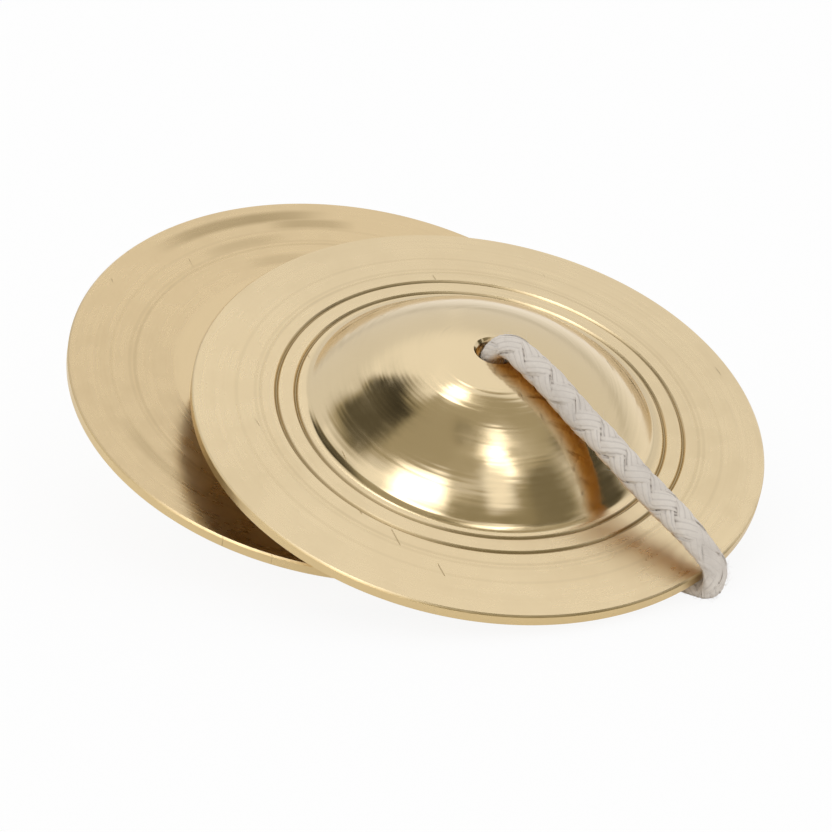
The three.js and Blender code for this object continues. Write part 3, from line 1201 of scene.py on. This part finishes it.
@dataclass
class StrandMesh:
    """One mesh of several strands and fibres, in the making."""

    name: str
    points: list = field(default_factory=list)
    faces: list = field(default_factory=list)
    depths: list = field(default_factory=list)
    unders: list = field(default_factory=list)

    def add_tube(self, rings: np.ndarray, depth: np.ndarray, under: np.ndarray) -> None:
        """Add a closed tube.

        Args:
            rings: Its rings of points, in metres.
            depth: How deep each point lies in the plait, which sets its painted shade.
            under: How far each point is on the underside that faces the brass, which sets its painted shade.
        """
        base = len(self.points)
        count, sides = rings.shape[:2]
        self.points.extend(rings.reshape(-1, 3).tolist())
        self.depths.extend(depth.reshape(-1).tolist())
        self.unders.extend(under.reshape(-1).tolist())
        for i in range(count - 1):
            row, following = base + i * sides, base + (i + 1) * sides
            for j in range(sides):
                after = (j + 1) % sides
                self.faces.append((row + j, row + after, following + after, following + j))
        self.faces.append(tuple(base + j for j in reversed(range(sides))))
        self.faces.append(tuple(base + (count - 1) * sides + j for j in range(sides)))

    def build(self, parts: list) -> Mesh:
        """Add the plaits and fibres and make the mesh.

        Args:
            parts: The plaits and fibres.

        Returns:
            The mesh, with depth and underside of each point as attributes.
        """
        for part in parts:
            part.add_to(self)
        mesh = bpy.data.meshes.new(self.name)
        mesh.from_pydata(self.points, [], self.faces)
        for name, values in (("depth", self.depths), ("under", self.unders)):
            mesh.attributes.new(name, "FLOAT", "POINT").data.foreach_set("value", values)
        for polygon in mesh.polygons:
            polygon.use_smooth = True
        return mesh


@dataclass
class TiedCord:
    """The cotton cord: one half goes with the upper cymbal, the other lies on the table."""

    layout: Layout
    material: Material
    spacing: float = 0.3
    path_step: int = 3
    fibres_lowest: float = 0.02
    drawn_up: tuple[Pair, Pair] = ((14.0, -2.3), (36.0, -2.7))

    def upper_points(self) -> list[np.ndarray]:
        """The route from the upper knot over the bell and round the rim."""
        over, rim = self.layout.over_bell, self.layout.at_rim
        return [
            over(0, 9.6), over(0, 11.6), over(0, 13.2), over(0.5, 14.4), over(1.3, 15.4),
            over(2.7, 15.88), over(5, 15.62), over(8, 14.98), over(11, 14.04), over(13.5, 13.05),
            over(16.1, 12.15), over(19.3, 11.25), over(22.5, 10.2), over(25.8, 9), over(28.8, 8.1),
            over(31.6, 7.25), rim(-5.8, 6.45), rim(-3.4, 5.65), rim(-1.85, 4.98), rim(-0.2, 4.2),
            rim(1, 3.3), rim(1.65, 2.1), rim(1.75, 0.8), rim(1.6, -0.4), rim(0.75, -1.45),
            rim(-0.8, -1.75), rim(-3.5, -2.2),
        ]

    def lower_points(self) -> list[np.ndarray]:
        """The route in a ring between the faces, over the lower rim and under the lower bell."""
        lay = self.layout
        entry = [lay.at_rim(-3.8, -2.45), lay.at_rim(-6, -2.45)]
        entry += [
            lay.between(radius, turn)
            for radius, turn in ((31.6, -2), (29, -6.8), (27, -13.5), (25.6, -23), (25, -34))
        ]
        ring = [lay.between(25, -48 - 18 * i) for i in range(12)]
        leave = [
            lay.between(radius, turn)
            for radius, turn in ((25, -257), (25.5, -264), (26.8, -269.1), (28.8, -272.8))
        ]
        rim = [
            lay.at_lower_rim(beyond, drop)
            for beyond, drop in (
                (-1.05, -2.4), (1.1, -2.15), (2.15, -1.2), (2.5, 0.1), (2.5, 1.7), (2, 3.2), (0.9, 4.4),
            )
        ]
        table = [
            np.array(point)
            for point in (
                (27.8, 18.4, 7.8), (25, 17.9, 5.2), (21.4, 16.9, 3.1), (17.4, 15.2, 1.95),
                (13.4, 12.6, 1.72), (10, 9.2, 1.72), (7.3, 5.4, 1.72), (5.1, 1.8, 1.68),
            )
        ]
        curl = [lay.round_bell(-7.5, 0.28, 1.61)]
        curl += [
            lay.round_bell(bearing, beyond)
            for bearing, beyond in (
                (-35, 0.1), (-60, 0), (-85, 0), (-110, 0), (-135, 0), (-160, 0), (-185, 0.15),
                (-205, 0.6),
            )
        ]
        curl += [
            lay.round_bell(bearing, beyond, height)
            for bearing, beyond, height in ((-220, 1.3, 1.8), (-231, 1.95, 2.4), (-238.5, 2.4, 3.5))
        ]
        bore = [lay.in_lower_bore(depth) for depth in (0.1, 1.8, 4.2)]
        return entry + ring + leave + rim + table + curl + bore

    def half(
        self, name: str, points: list[np.ndarray], stands_for: tuple[str, ...], seed: int, fuzz: Fibres
    ) -> Object:
        """Make one half of the cord.

        Args:
            name: The object's name.
            points: The route's points, in millimetres.
            stands_for: The nodes that it replaces.
            seed: The seed of its strands.
            fuzz: How many loose fibres it has for each millimetre, and their seed.

        Returns:
            The object.
        """
        lay = self.layout
        route = Route(points, self.spacing)
        across = np.cross(lay.over_bell(1, 0) - lay.over_bell(0, 0), lay.up)
        per_mm, fuzz_seed = fuzz
        fibres = Fuzz(route, across, per_mm=per_mm, lowest=self.fibres_lowest, seed=fuzz_seed)
        mesh = StrandMesh(name).build([Plait(route, across, lay, seed=seed), fibres])
        made = piece(name, mesh, self.material)
        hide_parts(*stands_for)
        line = route.line * MM
        path = line[:: self.path_step]
        if (len(line) - 1) % self.path_step:
            path = np.vstack((path, line[-1]))
        LOG.info("%s: %.1f mm, %d faces", name, route.length, len(mesh.polygons))
        return made

    def build(self) -> None:
        """Make both halves of the cord."""
        upper = self.half(
            "plaited_cord_upper", self.upper_points(), ("cord_over_bell", "cord_under_rim"), 101, (24, 21)
        )
        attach(upper, "upper_end")
        lower = self.half(
            "plaited_cord_lower",
            self.lower_points(),
            ("cord_between", "cord_under_lower", "cord_under_bell"),
            131,
            (6, 31),
        )
        start, end = ((self.layout.over_bell(*spot) * MM).tolist() for spot in self.drawn_up)
        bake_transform(lower)


@dataclass
class Knot:
    """The overhand knot that keeps a cord end inside a bell, with its cut end.

    The knot is drawn about the cymbal's own axis, in millimetres.
    """

    side: Side
    layout: Layout
    profile: CymbalProfile
    material: Material
    lobe: float = 0.93
    half_height: float = 1.35
    middle_drop: float = 3.98
    open_ends: Pair = (0.25, 0.05)
    steps: int = 30
    spacing: float = 0.3
    pitch: float = 10.0
    thickness: float = 0.78
    tail_thickness: float = 0.85
    tail_fibres: float = 30.0
    tail: tuple[Triple, ...] = ((0.2, 0.1, 1.2), (0.5, 0.3, 2.8), (0.8, 0.2, 4.4), (0.9, 0.2, 5.7))

    def build(self) -> Object:
        """Make the knot and let it ride with the cord's end.

        Returns:
            The object.
        """
        first, last = self.open_ends
        turns = np.linspace(first, 2 * math.pi - last, self.steps)
        middle = self.profile.roof - self.middle_drop
        loops = np.column_stack(
            (
                self.lobe * (np.sin(turns) + 2 * np.sin(2 * turns)),
                self.lobe * (np.cos(turns) - 2 * np.cos(2 * turns)),
                middle - self.half_height * np.sin(3 * turns),
            )
        )
        knotted = Route(loops, self.spacing)
        end = Route([(x, y, middle - drop) for x, y, drop in self.tail], self.spacing)
        up, side = np.array((0.0, 0.0, 1.0)), np.array((1.0, 0.0, 0.0))
        parts = [
            Plait(knotted, up, scale=self.thickness, pitch=self.pitch, seed=161),
            Plait(end, side, scale=self.tail_thickness, pitch=self.pitch, seed=181),
            Fuzz(end, side, per_mm=self.tail_fibres, seed=45),
        ]
        name = f"{self.side.value}_knot"
        made = piece(f"tied_{name}", StrandMesh(f"tied_{name}").build(parts), self.material)
        made.matrix_world = self.layout.matrix(self.side)
        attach(made, "cord" if self.side is Side.LOWER else "upper_end")
        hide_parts(name)
        return made


@dataclass(frozen=True)
class Glow:
    """A lighter or darker patch of the studio, as the brass mirrors it.

    Azimuth 0 is behind the camera and positive to its right, and elevation 0 is the horizon. Both
    are in degrees, as are the half widths and the soft border.
    """

    azimuth: float
    elevation: float
    half_width: float
    half_height: float
    soft: float
    level: float

    def mask(self, nodes: Nodes, azimuth: object, elevation: object) -> Socket:
        """Where the patch shows.

        Args:
            nodes: The world's tree.
            azimuth: The socket with the direction's azimuth, in degrees.
            elevation: The socket with its elevation, in degrees.

        Returns:
            The mask's socket.
        """
        masks = []
        for value, middle, half in (
            (azimuth, self.azimuth, self.half_width),
            (elevation, self.elevation, self.half_height),
        ):
            off = nodes.math("ABSOLUTE", nodes.math("SUBTRACT", value, middle))
            masks.append(nodes.ramp(off, half - self.soft / 2, half + self.soft / 2, 1.0, 0.0))
        return nodes.math("MULTIPLY", *masks)


@dataclass
class Studio:
    """The camera, the white floor and the light room round the table."""

    camera_place: Triple = (0.256, -574.496, 229.221)
    camera_down: float = 20.476
    focal_pixels: float = 4400.0
    picture_width: float = 832.0
    sensor: float = 36.0
    clipping: Pair = (0.01, 20.0)
    pale: float = 0.93
    plain: float = 0.95
    floor_tone: Triple = (0.92, 0.92, 0.92)
    floor_reach: float = 3.0
    floor_drop: float = 0.02
    floor_glow: float = 0.9
    floor_mirrored: float = 0.6
    bright: float = 0.75
    dim: float = 0.25
    dim_tint: Triple = (1.0, 0.91, 0.64)
    patches: tuple[Glow, ...] = (
        Glow(0, 28, 181, 18, 10, 0.76),
        Glow(150, 17, 32, 2, 4, 0.64),
        Glow(-150, 17, 32, 2, 4, 0.64),
        Glow(5, 68, 92, 26, 12, 0.40),
        Glow(24, 20, 34, 17, 10, 0.30),
        Glow(-70, 36, 34, 7, 8, 0.97),
        Glow(50, 57, 12, 11, 10, 0.52),
        Glow(10, 68, 10, 7, 8, 0.22),
        Glow(-96, 61, 32, 11, 9, 0.05),
        Glow(-92, 50, 24, 11, 12, 0.10),
        Glow(56, 28, 13, 15, 8, 0.20),
        Glow(88, 20, 12, 26, 7, 0.08),
        Glow(-24, 38, 16, 7, 11, 3.4),
        Glow(41, 61, 8, 5, 6, 2.0),
        Glow(32, 50, 8, 9, 6, 3.2),
        Glow(26, 38, 8, 11, 8, 1.1),
        Glow(0, 90, 181, 5, 3, 3.2),
    )

    def camera(self) -> None:
        """Put the camera in its place."""
        data = bpy.data.cameras.new("camera")
        data.sensor_width = self.sensor
        data.lens = self.focal_pixels * self.sensor / self.picture_width
        data.clip_start, data.clip_end = self.clipping
        made = bpy.data.objects.new("camera", data)
        bpy.context.scene.collection.objects.link(made)
        made.location = Vector(self.camera_place) * MM
        made.rotation_euler = (math.radians(90 - self.camera_down), 0.0, 0.0)
        bpy.context.scene.camera = made

    def room(self) -> None:
        """Make the world: white to the camera, plain for soft light, patchy in the brass."""
        world = bpy.data.worlds.new("studio")
        bpy.context.scene.world = world
        world.use_nodes = True
        nodes = Nodes(world.node_tree)
        background = world.node_tree.nodes["Background"]
        way = nodes.add("ShaderNodeTexCoord").outputs["Generated"]
        split = nodes.add("ShaderNodeSeparateXYZ", {0: way}).outputs
        back = nodes.math("MULTIPLY", split[1], -1.0)
        azimuth = nodes.math("DEGREES", nodes.math("ARCTAN2", split[0], back))
        elevation = nodes.math("DEGREES", nodes.math("ARCSINE", split[2]))
        level: object = self.pale
        for patch in self.patches:
            share = patch.mask(nodes, azimuth, elevation)
            change = nodes.math("MULTIPLY", share, nodes.math("SUBTRACT", patch.level, level))
            level = nodes.math("ADD", level, change)
        path = nodes.add("ShaderNodeLightPath").outputs
        for ray, shown in (("Is Diffuse Ray", self.plain), ("Is Camera Ray", 1.0)):
            change = nodes.math("SUBTRACT", shown, level)
            level = nodes.math("MULTIPLY_ADD", path[ray], change, level)
        pale = nodes.ramp(level, self.dim, self.bright)
        nodes.feed(background.inputs[0], nodes.mix(pale, opaque(self.dim_tint), opaque((1.0, 1.0, 1.0))))
        nodes.feed(background.inputs[1], level)

    def floor(self) -> Object:
        """Make the white floor, which keeps a faint shadow of the pair.

        Returns:
            The floor's object.
        """
        material = bpy.data.materials.new("white_floor")
        material.use_nodes = True
        nodes = Nodes(material.node_tree)
        out = material.node_tree.nodes["Material Output"]
        shader = material.node_tree.nodes["Principled BSDF"]
        shader.inputs["Base Color"].default_value = opaque(self.floor_tone)
        shader.inputs["Roughness"].default_value = 0.9
        glow = nodes.add("ShaderNodeEmission", {"Strength": 1.0})
        path = nodes.add("ShaderNodeLightPath").outputs
        mirrored = nodes.math("MULTIPLY", path["Is Glossy Ray"], self.floor_mirrored)
        shown = nodes.math("MAXIMUM", path["Is Camera Ray"], mirrored)
        share = nodes.math("MULTIPLY", shown, self.floor_glow)
        mixed = nodes.add("ShaderNodeMixShader", {0: share, 1: shader.outputs[0], 2: glow.outputs[0]})
        nodes.feed(out.inputs["Surface"], mixed.outputs[0])
        reach = self.floor_reach
        mesh = bpy.data.meshes.new("floor")
        square = [(-reach, -reach, 0.0), (reach, -reach, 0.0), (reach, reach, 0.0), (-reach, reach, 0.0)]
        mesh.from_pydata(square, [], [(0, 1, 2, 3)])
        made = piece("floor", mesh, material)
        made.location.z = -self.floor_drop * MM
        made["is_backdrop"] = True
        return made

    def build(self) -> None:
        """Set up the camera, the room and the floor."""
        self.camera()
        self.room()
        self.floor()
        bpy.context.scene.view_settings.view_transform = "Standard"


def corners() -> list[list[float]]:
    """The lowest and the highest corner of what is shown, as plain lists."""
    return [list(corner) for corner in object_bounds()]


def main() -> None:
    """Build the pair, its cord and the studio."""
    logging.basicConfig(level=logging.INFO)
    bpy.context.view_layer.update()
    layout = Layout()
    profile = CymbalProfile()
    Studio().build()
    LOG.info("studio ready")
    cotton = PlaitedCotton().build("natural_cotton")
    TiedCord(layout, cotton).build()
    brass = TurnedBrass().build("turned_brass", profile)
    for side in Side:
        cymbal = Cymbal(side, layout, profile, brass).build()
        knot = Knot(side, layout, profile, cotton).build()
        LOG.info("%s and %s built", cymbal.name, knot.name)


if __name__ == "__main__":
    main()
